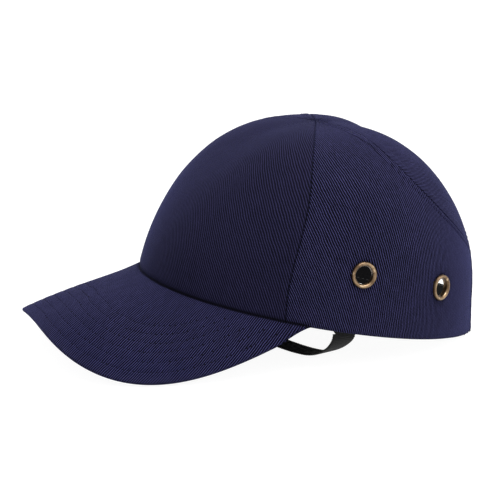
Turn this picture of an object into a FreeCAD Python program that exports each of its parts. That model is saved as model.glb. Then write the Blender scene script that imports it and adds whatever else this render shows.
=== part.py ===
import FreeCAD, Part
import os
from math import atan2, cos, hypot, pi, radians, sin

# Bump cap: a five-panel cloth cap with a moulded impact shell and foam pads inside.
# Millimetres. +X is forward (the brim), +Y is the wearer's left, +Z is up.
# The cap stands as it does on a table: on the brim's two side edges and its rear hem.
# The origin is under the middle of its bounding box, on the table.

os.makedirs("parts", exist_ok=True)
Vector = FreeCAD.Vector

# ---- driving dimensions: crown ----
crown_half_length = 104.8
crown_half_width = 90.2
crown_base = 21.9            # height where the upright wall starts to curve in
crown_rise = 106.6           # from crown_base to the top of the crown
crown_lean = -6.7            # how far the top sits behind the middle
front_power = 2.0            # superellipse powers of the profile: front, rear and sides
rear_power = 1.72
side_power = 3.13
fabric = 0.9                 # cotton twill
seam_mouth = 0.8             # radius of the hole where the five panels meet

# ---- driving dimensions: hem, seams and rear arch ----
hem_side_height = 20.4       # height of the hem at the middle of the side
hem_touch = radians(156)     # azimuth where the tilted hem reaches the table
hem_clearance = 0.3
front_hem_drop = 2.4         # how far the front hem runs down behind the brim
front_hem_span = radians(14)  # the turn over which it comes down
front_seam_hem = radians(64)
front_seam_top = radians(69)
front_seam_bend = (40.0, 65.0)  # height where the seam starts to turn, and how far up it goes on
rear_seam_top = radians(104)
rear_seam_arch = radians(151)
rear_seam_foot = 51.0        # height where the rear seam meets the arch
rear_seam_power = 1.6
rear_seam_limit = radians(157)  # the seam's course is kept within the arch below that
arch_half_width = 44.0
arch_spring = 36.0           # height where the sides of the arch start to close
arch_rise = 30.0
arch_power = 2.6
arch_front = -55.0           # the cut for the arch reaches from here back, behind the middle
arch_reach = 70.0
arch_floor = -20.0
binding_width = 5.0
binding_lip = 0.6
binding_proud = 0.15
binding_span = (radians(140), radians(220))
binding_top = 80.0

# ---- driving dimensions: brim ----
brim_reach = 65.9            # beyond the front of the crown
brim_half_width = 86.0
brim_root = 33.3             # where the brim's ends meet the hem, forward of the crown's middle
brim_end = radians(71.9)     # azimuth of those ends
brim_power = 3.1
brim_front_height = 49.7     # of the edge surface, over the front of the crown
brim_slope = 0.38
brim_side_drop = 51.5
brim_drop_power = 2.47
brim_bulge = 2.7
brim_seam_height = 0.6       # above the plane of the hem
brim_gap = 0.25              # between the brim's inner edge and the crown
brim_cover = 0.55            # twill on either face
brim_board = 1.7             # stiffener
brim_glue = 0.1              # between the board and either cloth
brim_board_inset = 0.8

# ---- driving dimensions: hardware ----
eyelets = {"front": (radians(88.0), 55.6), "rear": (radians(119.5), 40.4)}
eyelet_radius = 7.6
eyelet_hole = 5.25
eyelet_height = 1.5
eyelet_rise = 0.1            # of the flange's foot over the cloth
eyelet_shoulder = (0.5, 1.0)  # the roll's shoulders: in from either edge, and up
barrel_wall = 0.5
barrel_span = (-2.3, 0.6)
barrel_clearance = 0.1
washer_top = -1.4
washer_thickness = 0.7

# ---- driving dimensions: tapes, sweatband, shell and pads, by depth under the outer face ----
tape_depths = (fabric + 0.15, fabric + 0.55)
tape_half_width = 5.0
tape_gap = 0.5               # between the ends of two tapes
patch_radius = 17.5
patch_hole = 2.0
brim_tape_width = 8.0
sweatband_depth = (1.6, 3.2)
sweatband_width = 20.0
sweatband_end = radians(143)
sweatband_drop = 0.5         # below the hem
shell_depth = (2.0, 4.2)
pad_depth = (4.5, 9.5)
shell_rim = (68.0, -4.0, 2.0)   # rim height: mean, first and second cosine terms
shell_top_hole = 3.0
vent_length = 16.0
vent_width = 6.0
lower_vents = (radians(28), radians(62), radians(122), radians(152))
upper_vents = (radians(0), radians(45), radians(90), radians(135), radians(180))
lower_vent_height = 88.0
upper_vent_height = 110.0
upper_vent_share = 0.7       # of the lower vents' length
vent_cut = (8.0, 12.0)       # how deep under the outer face the cut starts, and how far out it goes
crown_pad_radius = 44.0
crown_pad_hole = 7.0

# ---- driving dimensions: rear adjuster and chin strap ----
strap_height = (0.5, 13.5)
patch_height = (1.2, 12.8)
strap_depth = (1.75, 2.95)
loop_depth = (1.1, 1.75)
hook_depth = (0.0, 0.8)
tab_depth = (-1.0, 0.0)
strap_turn = (radians(144.5), radians(200))
loop_turn = (radians(157), radians(199))
hook_turn = (radians(165), radians(198))
tab_root = radians(207)
tab_tip = radians(164)
anchor_gap = radians(0.7)    # between the tab's folded root and its sewn end
anchor_fold = radians(0.8)
anchor_end = radians(215.5)
chin_width = 14.0
chin_thickness = 1.2
chin_pivot = (10.1, 82.5, 26.0)  # forward of the crown's middle, sideways, and up
chin_end = (7.4, 1.5)        # the strap's doubled round ends: radius and thickness
stud_radius = 2.0
stud_clearance = 0.35
stud_head = (4.2, 1.0)       # radius and thickness
stud_boss = (3.2, 1.8)       # of its anchor: radius, and length out towards the sweatband
chin_anchor_turn = (radians(80), radians(88))
chin_anchor_height = (23.0, 36.0)
chin_anchor_depth = (3.4, 4.5)
slider_centre = (34.5, -24.0, 2.05)
slider_wall = 1.0
slider_length = 11.0
slider_height = 3.9
slider_gap = 0.3

# ---- worked out ----
crown_x = -(brim_reach + tab_depth[0]) / 2.0
hem_slope = hem_side_height / (-cos(hem_touch) * crown_half_length)
middle = Vector(crown_x, 0, 0)


def shape_power(psi):
    """Power of the crown's profile at azimuth psi."""
    c = cos(psi)
    s = sin(psi)
    end_power = front_power if c > 0 else rear_power
    return end_power * c * c + side_power * s * s


def layer_point(psi, lift, depth):
    """Point of the crown, depth under its outer face. lift is the angle from the top:
    a right angle at crown_base, and more than that down the wall."""
    power = shape_power(psi)
    if lift > pi / 2:
        rho = 1.0
        rise = 0.0
        z = crown_base - (lift - pi / 2) * crown_rise
    else:
        reach = (sin(lift) ** power + cos(lift) ** power) ** (-1.0 / power)
        rho = reach * sin(lift)
        rise = reach * cos(lift)
        z = crown_base + (crown_rise - depth) * rise
    x = (crown_half_length - depth) * cos(psi) * rho + crown_lean * rise
    y = (crown_half_width - depth) * sin(psi) * rho
    return middle + Vector(x, y, z)


def lift_at_height(psi, z, depth=0.0):
    if z <= crown_base:
        return pi / 2 + (crown_base - z) / crown_rise
    power = shape_power(psi)
    rise = min((z - crown_base) / (crown_rise - depth), 1.0)
    return atan2((1.0 - rise ** power) ** (1.0 / power), rise)


def lift_at_radius(psi, radius, depth=0.0):
    power = shape_power(psi)
    rho = radius * hypot(cos(psi) / (crown_half_length - depth), sin(psi) / (crown_half_width - depth))
    return atan2(rho, (1.0 - rho ** power) ** (1.0 / power))


def outward(psi, lift, depth=0.0):
    """Unit normal of the crown, pointing out."""
    step = 1e-4
    along = layer_point(psi + step, lift, depth) - layer_point(psi - step, lift, depth)
    down = layer_point(psi, lift + step, depth) - layer_point(psi, lift - step, depth)
    normal = down.cross(along)
    return normal.normalize()


def smooth(value):
    value = min(max(value, 0.0), 1.0)
    return value * value * (3.0 - 2.0 * value)


def hem_plane(psi):
    return hem_side_height + hem_slope * crown_half_length * cos(psi)


def hem_height(psi):
    """Lower edge of the crown: a tilted plane, let down behind the brim, and never under the table."""
    turn = abs(psi) if psi < pi else 2 * pi - psi
    behind_brim = smooth((brim_end - turn) / front_hem_span)
    return max(hem_plane(psi) - front_hem_drop * behind_brim, hem_clearance)


def front_seam(z):
    start, span = front_seam_bend
    return front_seam_hem + (front_seam_top - front_seam_hem) * smooth((z - start) / span)


def rear_seam(z):
    top = crown_base + crown_rise
    share = min((z - rear_seam_foot) / (top - rear_seam_foot), 1.0)
    azimuth = rear_seam_top + (rear_seam_arch - rear_seam_top) * (1.0 - share) ** rear_seam_power
    return min(azimuth, rear_seam_limit)


def face_through(rows):
    surface = Part.BSplineSurface()
    surface.interpolate(rows)
    return surface


def steps(start, end, count):
    return [start + (end - start) * i / (count - 1.0) for i in range(count)]


def closed_between(outer_rows, inner_rows):
    """Solid between two grids of points that run side by side."""
    outer = face_through(outer_rows)
    inner = face_through(inner_rows)
    u0, u1, v0, v1 = outer.bounds()
    p0, p1, q0, q1 = inner.bounds()
    faces = [outer.toShape(), inner.toShape()]
    pairs = (
        (outer.uIso(u0), inner.uIso(p0)),
        (outer.uIso(u1), inner.uIso(p1)),
        (outer.vIso(v0), inner.vIso(q0)),
        (outer.vIso(v1), inner.vIso(q1)),
    )
    for outer_edge, inner_edge in pairs:
        faces.append(Part.makeRuledSurface(outer_edge.toShape(), inner_edge.toShape()))
    shell = Part.Shell(faces)
    shell.sewShape()
    solid = Part.Solid(shell)
    if solid.Volume < 0:
        solid.reverse()
    return solid


def slab(left, right, low, high, depths, across=14, up=16):
    """Piece of a layer of the crown. left and right give the azimuths of its two sides for a
    share 0 to 1 of the way up, low and high give its lifts for an azimuth."""
    def rows(depth):
        grid = []
        for u in steps(0.0, 1.0, across):
            row = []
            for v in steps(0.0, 1.0, up):
                psi = left(v) + (right(v) - left(v)) * u
                lift = low(psi, depth) + (high(psi, depth) - low(psi, depth)) * v
                row.append(layer_point(psi, lift, depth))
            grid.append(row)
        return grid
    return closed_between(rows(depths[0]), rows(depths[1]))


def constant(value):
    return lambda v: value


def at_height(height):
    """Lifts of a line around the crown whose height is given for an azimuth."""
    return lambda psi, depth: lift_at_height(psi, height(psi), depth)


def at_radius(radius):
    return lambda psi, depth: lift_at_radius(psi, radius, depth)


def mirrored(shape):
    return shape.mirror(Vector(0, 0, 0), Vector(0, 1, 0))


def ring_slab(low, high, depths, across=16, up=14):
    """Layer that runs all the way round, made of two mirrored halves."""
    half = slab(constant(0.0), constant(pi), low, high, depths, across, up)
    return half.fuse(mirrored(half)).removeSplitter()


def seam_side(seam, low_height, high_radius, aside=0.0):
    """Azimuth of a line along a seam, or aside from it, for the share of the way up from
    low_height to high_radius. Each pass brings the azimuth nearer to the seam's own there."""
    def azimuth(v):
        psi = seam(rear_seam_foot)
        for _ in range(30):
            low = lift_at_height(psi, low_height(psi))
            high = lift_at_radius(psi, high_radius)
            point = layer_point(psi, low + (high - low) * v, 0.0)
            psi = 0.5 * psi + 0.5 * seam(point.z)
        return psi + aside / hypot(point.x - crown_x, point.y)
    return azimuth


def arch_profile(grow):
    """Outline of the rear opening in the YZ plane, grown outwards by grow."""
    width = arch_half_width + grow
    rise = arch_rise + grow
    corner = radians(8)
    points = [Vector(0, width, arch_floor), Vector(0, width, arch_spring)]
    for turn in steps(corner, pi - corner, 21):
        reach = (abs(cos(turn) / width) ** arch_power + (sin(turn) / rise) ** arch_power) ** (-1.0 / arch_power)
        points.append(Vector(0, reach * cos(turn), arch_spring + reach * sin(turn)))
    points += [Vector(0, -width, arch_spring), Vector(0, -width, arch_floor)]
    curve = Part.BSplineCurve()
    curve.interpolate(points[1:-1])
    sides = [
        Part.makeLine(points[0], points[1]),
        curve.toShape(),
        Part.makeLine(points[-2], points[-1]),
        Part.makeLine(points[-1], points[0]),
    ]
    return Part.Face(Part.Wire(sides))


def arch_block(grow=0.0):
    """Everything behind the cap that lies within the arch."""
    block = arch_profile(grow).extrude(Vector(-arch_reach, 0, 0))
    return block.translated(Vector(crown_x + arch_front, 0, 0))


def disc(psi, z, radius, bottom, top):
    """Cylinder square to the crown, from bottom to top measured outwards from its outer face."""
    lift = lift_at_height(psi, z)
    normal = outward(psi, lift)
    start = layer_point(psi, lift, 0.0) + normal * bottom
    return Part.makeCylinder(radius, top - bottom, start, normal)


def save(shape, name):
    print(name, "volume", round(shape.Volume, 1), "solids", len(shape.Solids), "valid", shape.isValid())
    shape.exportStep("parts/" + name + ".step")


def save_pair(shape, name, side_first=True):
    """One piece on the wearer's left and its mirror image on the right."""
    names = ("left_" + name, "right_" + name) if side_first else (name + "_left", name + "_right")
    save(shape, names[0])
    save(mirrored(shape), names[1])


# ---- crown panels ----
def make_panels():
    hem = at_height(hem_height)
    mouth = at_radius(seam_mouth)
    depths = (0.0, fabric)
    front_edge = seam_side(front_seam, hem_height, seam_mouth)
    rear_edge = seam_side(rear_seam, hem_height, seam_mouth)
    front = slab(lambda v: -front_edge(v), front_edge, hem, mouth, depths, 21, 18)
    side = slab(front_edge, rear_edge, hem, mouth, depths, 13, 18)
    rear = slab(rear_edge, constant(pi), hem, mouth, depths, 13, 18)
    for psi, z in eyelets.values():
        side = side.cut(disc(psi, z, eyelet_hole + barrel_wall + barrel_clearance, -6.0, 6.0))
    opening = arch_block()
    side = side.cut(opening)
    rear = rear.cut(opening)
    save(front, "front_panel")
    save_pair(side, "side_panel")
    save_pair(rear, "rear_panel")


# ---- tapes and patch inside the crown ----
def seam_strip(seam, low_height):
    """Tape along a seam, from low_height up to the patch at the top."""
    high_radius = patch_radius + tape_gap
    return slab(
        seam_side(seam, low_height, high_radius, -tape_half_width),
        seam_side(seam, low_height, high_radius, tape_half_width),
        at_height(low_height), at_radius(high_radius), tape_depths, 6, 16,
    )


def make_tapes():
    def above_brim_tape(psi):
        return hem_height(psi) + brim_tape_width + tape_gap
    save_pair(seam_strip(front_seam, above_brim_tape), "front_seam_tape")
    rear = seam_strip(rear_seam, lambda psi: rear_seam_foot)
    save_pair(rear.cut(arch_block(binding_width + tape_gap)), "rear_seam_tape")
    centre_low = arch_spring + arch_rise + binding_width + 2 * tape_gap
    save(seam_strip(lambda z: pi, lambda psi: centre_low), "centre_seam_tape")
    save(ring_slab(at_radius(patch_radius), at_radius(patch_hole), tape_depths, 12, 6), "crown_patch")
    brim_tape = slab(
        constant(-brim_end), constant(brim_end), at_height(hem_height),
        at_height(lambda psi: hem_height(psi) + brim_tape_width), tape_depths, 21, 4,
    )
    save(brim_tape, "brim_seam_tape")


def make_arch_binding():
    """Tape folded round the edge of the rear opening: a facing inside and a lip across the edge."""
    def layer(depths):
        return slab(
            constant(binding_span[0]), constant(binding_span[1]), at_height(lambda psi: hem_clearance),
            at_height(lambda psi: binding_top), depths, 21, 21,
        )
    lip = layer((-binding_proud, tape_depths[1]))
    lip = lip.common(arch_block()).cut(arch_block(-binding_lip))
    facing = layer(tape_depths)
    facing = facing.common(arch_block(binding_width)).cut(arch_block())
    save(lip.fuse(facing), "arch_binding")


def make_sweatband():
    def lower(psi):
        return max(hem_height(psi) - sweatband_drop, hem_clearance)
    band = slab(
        constant(-sweatband_end), constant(sweatband_end), at_height(lower),
        at_height(lambda psi: hem_height(psi) + sweatband_width), sweatband_depth, 41, 6,
    )
    save(band, "sweatband")


# ---- impact shell and pads ----
def rim_height(psi):
    mean, first, second = shell_rim
    return mean + first * cos(psi) + second * cos(2 * psi)


def capsule(psi, z, length, width):
    """Slot with round ends, cut square through the shell and running up and down it."""
    start, reach = vent_cut
    lift = lift_at_height(psi, z)
    normal = outward(psi, lift)
    centre = layer_point(psi, lift, 0.0) - normal * start
    up = (layer_point(psi, lift - 0.01, 0.0) - layer_point(psi, lift + 0.01, 0.0)).normalize()
    side = normal.cross(up).normalize()
    half = (length - width) / 2.0
    corners = []
    for a, b in ((1, 1), (1, -1), (-1, -1), (-1, 1)):
        corners.append(centre + side * (a * width / 2.0) + up * (b * half))
    body = Part.Face(Part.makePolygon(corners + corners[:1])).extrude(normal * reach)
    for sign in (1, -1):
        body = body.fuse(Part.makeCylinder(width / 2.0, reach, centre + up * (sign * half), normal))
    return body


def make_shell():
    shell = ring_slab(at_height(rim_height), at_radius(shell_top_hole), shell_depth, 17, 14)
    vents = [(psi, lower_vent_height, vent_length) for psi in lower_vents]
    vents += [(psi, upper_vent_height, vent_length * upper_vent_share) for psi in upper_vents]
    for psi, height, length in vents:
        shell = shell.cut(capsule(psi, height, length, vent_width))
        if 0.0 < psi < pi:
            shell = shell.cut(capsule(-psi, height, length, vent_width))
    save(shell, "impact_shell")


def pad(start, end, low, high, across=8, up=7):
    return slab(
        constant(radians(start)), constant(radians(end)), at_height(lambda psi: low),
        at_height(lambda psi: high), pad_depth, across, up,
    )


def make_pads():
    crown = ring_slab(at_radius(crown_pad_radius), at_radius(crown_pad_hole), pad_depth, 14, 7)
    save(crown, "crown_pad")
    save(pad(-34.0, 34.0, 70.0, 94.0, 12), "front_pad")
    save(pad(150.0, 210.0, 80.0, 98.0, 12), "rear_pad")
    save_pair(pad(72.0, 112.0, 74.0, 100.0), "side_pad")


# ---- brim ----
def brim_seam_point(psi, drop):
    """Point where the brim meets the crown, drop under its top face."""
    z = hem_plane(psi) + brim_seam_height - drop
    return layer_point(psi, lift_at_height(psi, z, -brim_gap), -brim_gap)


def brim_edge_point(turn):
    """Outer edge of the brim: a superellipse in plan, arched down to both sides."""
    reach_x = crown_half_length + brim_reach - brim_root
    power = brim_power
    reach = (abs(cos(turn) / reach_x) ** power + abs(sin(turn) / brim_half_width) ** power) ** (-1.0 / power)
    x = brim_root + reach * cos(turn)
    y = reach * sin(turn)
    drop = brim_side_drop * (abs(y) / brim_half_width) ** brim_drop_power
    z = brim_front_height - brim_slope * (x - crown_half_length) - drop
    return middle + Vector(x, y, z)


def brim_face_point(turn, share):
    """Top face of the brim, from the crown (share 0) to the outer edge (share 1)."""
    inner = brim_seam_point(brim_end * turn / (pi / 2), 0.0)
    outer = brim_edge_point(turn)
    point = inner * (1.0 - share) + outer * share
    return point + Vector(0, 0, brim_bulge * cos(turn) * 4.0 * share * (1.0 - share))


def brim_point(turn, share, drop):
    """Point drop under the top face, square to it except along the crown."""
    step = 1e-3
    near = min(max(turn, -pi / 2 + 0.06), pi / 2 - 0.06)
    centre = min(max(share, step), 1.0 - step)
    along = brim_face_point(near + step, centre) - brim_face_point(near - step, centre)
    across = brim_face_point(near, centre + step) - brim_face_point(near, centre - step)
    normal = across.cross(along).normalize()
    seam_azimuth = brim_end * turn / (pi / 2)
    by_crown = brim_seam_point(seam_azimuth, drop) - brim_seam_point(seam_azimuth, 0.0)
    blend = smooth(share / 0.3) * smooth((pi / 2 - abs(turn)) / 0.25)
    return brim_face_point(turn, share) + by_crown * (1.0 - blend) - normal * (drop * blend)


def brim_layer(top, bottom, edge_in=0.0):
    """One layer of the brim between two depths, its outer edge drawn in by edge_in."""
    def rows(drop):
        grid = []
        for turn in steps(-pi / 2, pi / 2, 41):
            length = (brim_face_point(turn, 1.0) - brim_face_point(turn, 0.0)).Length
            last = 1.0 - edge_in / max(length, 4.0 * edge_in + 0.1)
            grid.append([brim_point(turn, share, drop) for share in steps(0.0, last, 10)])
        return grid
    return closed_between(rows(top), rows(bottom))


def make_brim():
    board_top = brim_cover + brim_glue
    board_bottom = board_top + brim_board
    under_top = board_bottom + brim_glue
    save(brim_layer(0.0, brim_cover), "brim_top_fabric")
    save(brim_layer(board_top, board_bottom, brim_board_inset), "brim_stiffener")
    save(brim_layer(under_top, under_top + brim_cover), "brim_under_fabric")


# ---- eyelets ----
def make_eyelets():
    """Rolled eyelets with a barrel through the cloth, and the washers they are closed on."""
    for place, (psi, z) in eyelets.items():
        lift = lift_at_height(psi, z)
        square = FreeCAD.Rotation(Vector(0, 0, 1), outward(psi, lift))
        placed = FreeCAD.Placement(layer_point(psi, lift, 0.0), square)
        inset, shoulder = eyelet_shoulder
        roll = Part.BSplineCurve()
        roll.interpolate([
            Vector(eyelet_hole, 0, eyelet_rise),
            Vector(eyelet_hole + inset, 0, shoulder),
            Vector((eyelet_radius + eyelet_hole) / 2.0, 0, eyelet_height),
            Vector(eyelet_radius - inset, 0, shoulder),
            Vector(eyelet_radius, 0, eyelet_rise),
        ])
        foot = Part.makeLine(Vector(eyelet_radius, 0, eyelet_rise), Vector(eyelet_hole, 0, eyelet_rise))
        flange = Part.Face(Part.Wire([roll.toShape(), foot])).revolve(Vector(0, 0, 0), Vector(0, 0, 1), 360)
        barrel_radius = eyelet_hole + barrel_wall
        eyelet = flange.fuse(tube(eyelet_hole, barrel_radius, *barrel_span))
        washer_low = washer_top - washer_thickness
        washer = tube(barrel_radius + barrel_clearance, eyelet_radius, washer_low, washer_top)
        for shape, name in ((eyelet, "eyelet"), (washer, "eyelet_washer")):
            shape.Placement = placed
            save_pair(shape, place + "_" + name)


def tube(inner, outer, low, high):
    """Round tube about the Z axis."""
    height = high - low
    return Part.makeCylinder(outer, height, Vector(0, 0, low)).cut(Part.makeCylinder(inner, height, Vector(0, 0, low)))


# ---- rear size adjuster ----
def band(turn, depths, heights=strap_height, across=12):
    return slab(
        constant(turn[0]), constant(turn[1]), at_height(lambda psi: heights[0]),
        at_height(lambda psi: heights[1]), depths, across, 4,
    )


def make_adjuster():
    save(band(strap_turn, strap_depth), "rear_strap")
    save(band(loop_turn, loop_depth), "loop_patch")
    fold = tab_root + anchor_gap
    sewn_end = band((fold, anchor_end), strap_depth, across=5)
    turned_end = band((fold, fold + anchor_fold), (tab_depth[0], strap_depth[0]), across=4)
    save(sewn_end.fuse(turned_end), "rear_tab_anchor")
    save(band(hook_turn, hook_depth, patch_height), "hook_patch")
    half = (tab_depth[1] - tab_depth[0]) / 2.0
    root = layer_point(tab_root, pi / 2, tab_depth[0] + half)
    root.z = strap_height[0]
    root_fold = Part.makeCylinder(half, strap_height[1] - strap_height[0], root)
    save(band((tab_tip, tab_root), tab_depth).fuse(root_fold), "rear_tab")
    print("tab hinge", root)


# ---- chin strap ----
# Its centre line, from the stud on the wearer's left to the one on the right: forward of the
# crown's middle, sideways, and up. It hangs down inside the hem and lies slack on the table.
slider_level = slider_centre[2]
chin_points = [
    chin_pivot, (10.1, 82.5, 22.0), (10.2, 80.9, 16.9), (11.2, 75.0, 11.1), (13.0, 66.8, 6.2),
    (15.8, 57.5, 2.6), (19.2, 46.5, 1.1), (23.6, 33.5, 0.75), (28.4, 20.0, 1.2),
    (32.0, 7.0, slider_level), (34.4, -4.0, slider_level), (34.5, -14.0, slider_level), slider_centre,
    (34.5, -34.0, slider_level), (34.0, -44.0, slider_level), (30.6, -55.0, slider_level),
    (22.8, -66.0, 3.0), (15.4, -74.2, 6.2), (11.7, -79.4, 11.2), (10.2, -82.1, 17.0), (10.1, -82.5, 22.0),
    (chin_pivot[0], -chin_pivot[1], chin_pivot[2]),
]


def strap_frame(tangent):
    """Directions across a strap and out of its face, for its direction of travel. The strap
    lies level across its width, and hangs facing sideways where it is steep."""
    level = Vector(tangent.x, tangent.y, 0.0)
    heading = level.normalize() if level.Length > 1e-6 else Vector(0, -1, 0)
    hanging = smooth((abs(tangent.z) - 0.5) / 0.4)
    heading = heading * (1.0 - hanging) + Vector(0, -1, 0) * hanging
    across = Vector(-heading.y, heading.x, 0.0).normalize()
    return across, tangent.cross(across).normalize()


def ribbon(curve, half_thickness, width, count):
    """Flat strap along a curve."""
    def rows(offset):
        grid = []
        for parameter in steps(curve.FirstParameter, curve.LastParameter, count):
            across, face = strap_frame(curve.tangent(parameter)[0])
            centre = curve.value(parameter) + face * offset
            grid.append([centre + across * (width * share) for share in (0.5, 0.17, -0.17, -0.5)])
        return grid
    return closed_between(rows(half_thickness), rows(-half_thickness))


def cylinder_across(radius, inner, outer):
    """Cylinder on the left stud's axis, from inner to outer measured sideways from the middle."""
    x, _, z = chin_pivot
    return Part.makeCylinder(radius, outer - inner, middle + Vector(x, inner, z), Vector(0, 1, 0))


def make_chin_strap():
    """Webbing with round ends, each with a hole that turns on its stud."""
    route = Part.BSplineCurve()
    route.interpolate([middle + Vector(*point) for point in chin_points])
    inner = chin_pivot[1] - chin_end[1] / 2.0
    outer = chin_pivot[1] + chin_end[1] / 2.0
    strap = ribbon(route, chin_thickness / 2.0, chin_width, 60)
    end = cylinder_across(chin_end[0], inner, outer)
    hole = cylinder_across(stud_radius + stud_clearance, inner - 1.0, outer + 1.0)
    for round_end, bore in ((end, hole), (mirrored(end), mirrored(hole))):
        strap = strap.fuse(round_end).cut(bore)
    save(strap, "chin_strap")
    print("chin strap length", route.length())


def make_chin_studs():
    """Press studs of the chin strap, and the tabs that hold them inside the sweatband."""
    head_radius, head_thickness = stud_head
    boss_radius, boss_length = stud_boss
    half = chin_end[1] / 2.0
    head_outer = chin_pivot[1] - half - stud_clearance
    boss_inner = chin_pivot[1] + half + stud_clearance
    head = cylinder_across(head_radius, head_outer - head_thickness, head_outer)
    shank = cylinder_across(stud_radius, head_outer - head_thickness, boss_inner)
    save_pair(head.fuse(shank), "chin_stud", False)
    low, high = chin_anchor_height
    tab = slab(
        constant(chin_anchor_turn[0]), constant(chin_anchor_turn[1]), at_height(lambda psi: low),
        at_height(lambda psi: high), chin_anchor_depth, 5, 4,
    )
    boss = cylinder_across(boss_radius, boss_inner, boss_inner + boss_length)
    save_pair(tab.fuse(boss), "chin_anchor", False)


def make_slider():
    x, y, z = slider_centre
    width = chin_width + 2 * (slider_wall + slider_gap)
    corner = middle + Vector(x - width / 2.0, y - slider_length / 2.0, z - slider_height / 2.0)
    frame = Part.makeBox(width, slider_length, slider_height, corner)
    slot_width = width - 2 * slider_wall
    slot_height = slider_height - 2 * slider_wall
    slot_corner = middle + Vector(x - slot_width / 2.0, y - slider_length, z - slot_height / 2.0)
    frame = frame.cut(Part.makeBox(slot_width, 2 * slider_length, slot_height, slot_corner))
    save(frame, "chin_slider")


make_panels()
make_tapes()
make_arch_binding()
make_sweatband()
make_shell()
make_pads()
make_brim()
make_eyelets()
make_adjuster()
make_chin_strap()
make_chin_studs()
make_slider()
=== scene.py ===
import bmesh
import bpy
import numpy as np
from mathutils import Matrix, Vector, noise


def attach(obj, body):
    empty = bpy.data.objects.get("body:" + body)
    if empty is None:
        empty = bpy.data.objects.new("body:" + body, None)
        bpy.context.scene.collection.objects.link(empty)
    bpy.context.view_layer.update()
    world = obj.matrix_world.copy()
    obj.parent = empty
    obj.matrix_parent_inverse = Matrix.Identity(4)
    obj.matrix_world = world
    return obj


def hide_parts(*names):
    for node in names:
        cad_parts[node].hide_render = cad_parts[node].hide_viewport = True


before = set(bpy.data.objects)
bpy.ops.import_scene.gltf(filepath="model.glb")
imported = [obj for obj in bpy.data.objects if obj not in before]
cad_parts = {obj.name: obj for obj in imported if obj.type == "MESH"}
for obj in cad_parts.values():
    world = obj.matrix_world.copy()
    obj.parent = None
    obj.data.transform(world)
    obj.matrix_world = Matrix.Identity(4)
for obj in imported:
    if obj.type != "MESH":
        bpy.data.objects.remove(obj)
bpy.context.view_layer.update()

# Bump cap. Lengths here are millimetres until a mesh is made; +X forward, +Y the wearer's left.
MM = 0.001
pi = np.pi
fine_step = 1e-3     # for slopes

# ---------------------------------------------------------------- driving dimensions
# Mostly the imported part's own, repeated here because its source can't be read.
crown_half_length = 104.8
crown_half_width = 90.2
crown_base = 21.9
crown_rise = 106.6
crown_lean = -6.7
front_power = 2.0
rear_power = 1.72
side_power = 3.13
fabric = 0.9
hem_side_height = 20.4
hem_touch = np.radians(156)
hem_clearance = 0.3
front_hem_drop = 2.4
front_hem_span = np.radians(14)
front_seam_hem = np.radians(64)
front_seam_top = np.radians(69)
front_seam_bend = (40.0, 65.0)     # height where it starts to turn, and how far up it goes on
rear_seam_top = np.radians(104)
rear_seam_arch = np.radians(151)
rear_seam_foot = 51.0
rear_seam_power = 1.6
arch_half_width = 44.0
arch_spring = 36.0
arch_rise = 30.0
arch_power = 2.6
brim_reach = 65.9
brim_half_width = 86.0
brim_root = 33.3
brim_end = np.radians(71.9)
brim_power = 3.1
brim_front_height = 49.7
brim_slope = 0.38
brim_side_drop = 51.5
brim_drop_power = 2.47
brim_bulge = 2.7
brim_seam_height = 0.6
brim_tuck = 0.3
brim_thickness = 3.0
brim_end_taper = np.radians(14)
brim_end_least = 0.15
eyelets = {"front": (np.radians(88.0), 55.6), "rear": (np.radians(119.5), 40.4)}
eyelet_radius = 7.6
eyelet_hole = 5.25
barrel_wall = 0.5
washer_span = (-2.1, -1.4)
tape_depths = (fabric + 0.15, fabric + 0.55)
tape_half_width = 5.0
tape_gap = 0.5
patch_radius = 17.5
patch_hole = 2.0
brim_tape_width = 8.0
binding_width = 5.0
binding_lip = 0.6
binding_proud = 0.15
sweatband_depth = (1.6, 3.2)
sweatband_width = 20.0
sweatband_end = np.radians(143)
sweatband_drop = 0.5
pad_depth = (4.5, 9.5)
pad_edge = 2.4
crown_pad_radius = 44.0
crown_pad_hole = 7.0
pads = {
    "front_pad": (-34.0, 34.0, 70.0, 94.0),
    "rear_pad": (150.0, 210.0, 80.0, 98.0),
    "left_side_pad": (72.0, 112.0, 74.0, 100.0),
    "right_side_pad": (-112.0, -72.0, 74.0, 100.0),
}
strap_height = (0.5, 13.5)
patch_height = (1.2, 12.8)
# Each band: its turn in degrees, its outer and inner depth, and its heights.
bands = {
    "rear_strap": (144.5, 200.0, 1.75, 2.95, strap_height),
    "loop_patch": (157.0, 199.0, 1.1, 1.75, strap_height),
    "hook_patch": (165.0, 198.0, 0.0, 0.8, patch_height),
    "rear_tab": (164.0, 207.2, -1.0, 0.0, strap_height),
}
anchor_fold = np.radians(208.1)
anchor_end = np.radians(215.5)
chin_width = 14.0
chin_thickness = 1.2
chin_pivot = (10.1, 82.5, 26.0)
chin_end = (7.4, 1.5)
stud_radius = 2.0
stud_bore = 0.05
stud_clearance = 0.35
stud_head = (4.2, 1.0)
stud_boss = (3.2, 1.8)
chin_anchor_turn = (np.radians(80), np.radians(88))
chin_anchor_height = (23.0, 36.0)
chin_anchor_depth = (3.4, 4.5)
slider_centre = (34.5, -24.0, 2.05)
slider_length = 11.0
slider_height = 3.9
slider_wall = 0.8
slider_gap = 0.5
tab_proud = 1.0

crown_x = -(brim_reach - tab_proud) / 2.0
hem_slope = hem_side_height / (-np.cos(hem_touch) * crown_half_length)


# ---------------------------------------------------------------- the shape of the crown
def smooth(value):
    """From 0 to 1 with a soft start and end."""
    value = np.clip(value, 0.0, 1.0)
    return value * value * (3.0 - 2.0 * value)


def bell(distance, width):
    """1 at no distance, falling away on both sides."""
    return np.exp(-(distance / width) ** 2)


def unit(vectors):
    return vectors / np.linalg.norm(vectors, axis=-1, keepdims=True)


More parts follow.
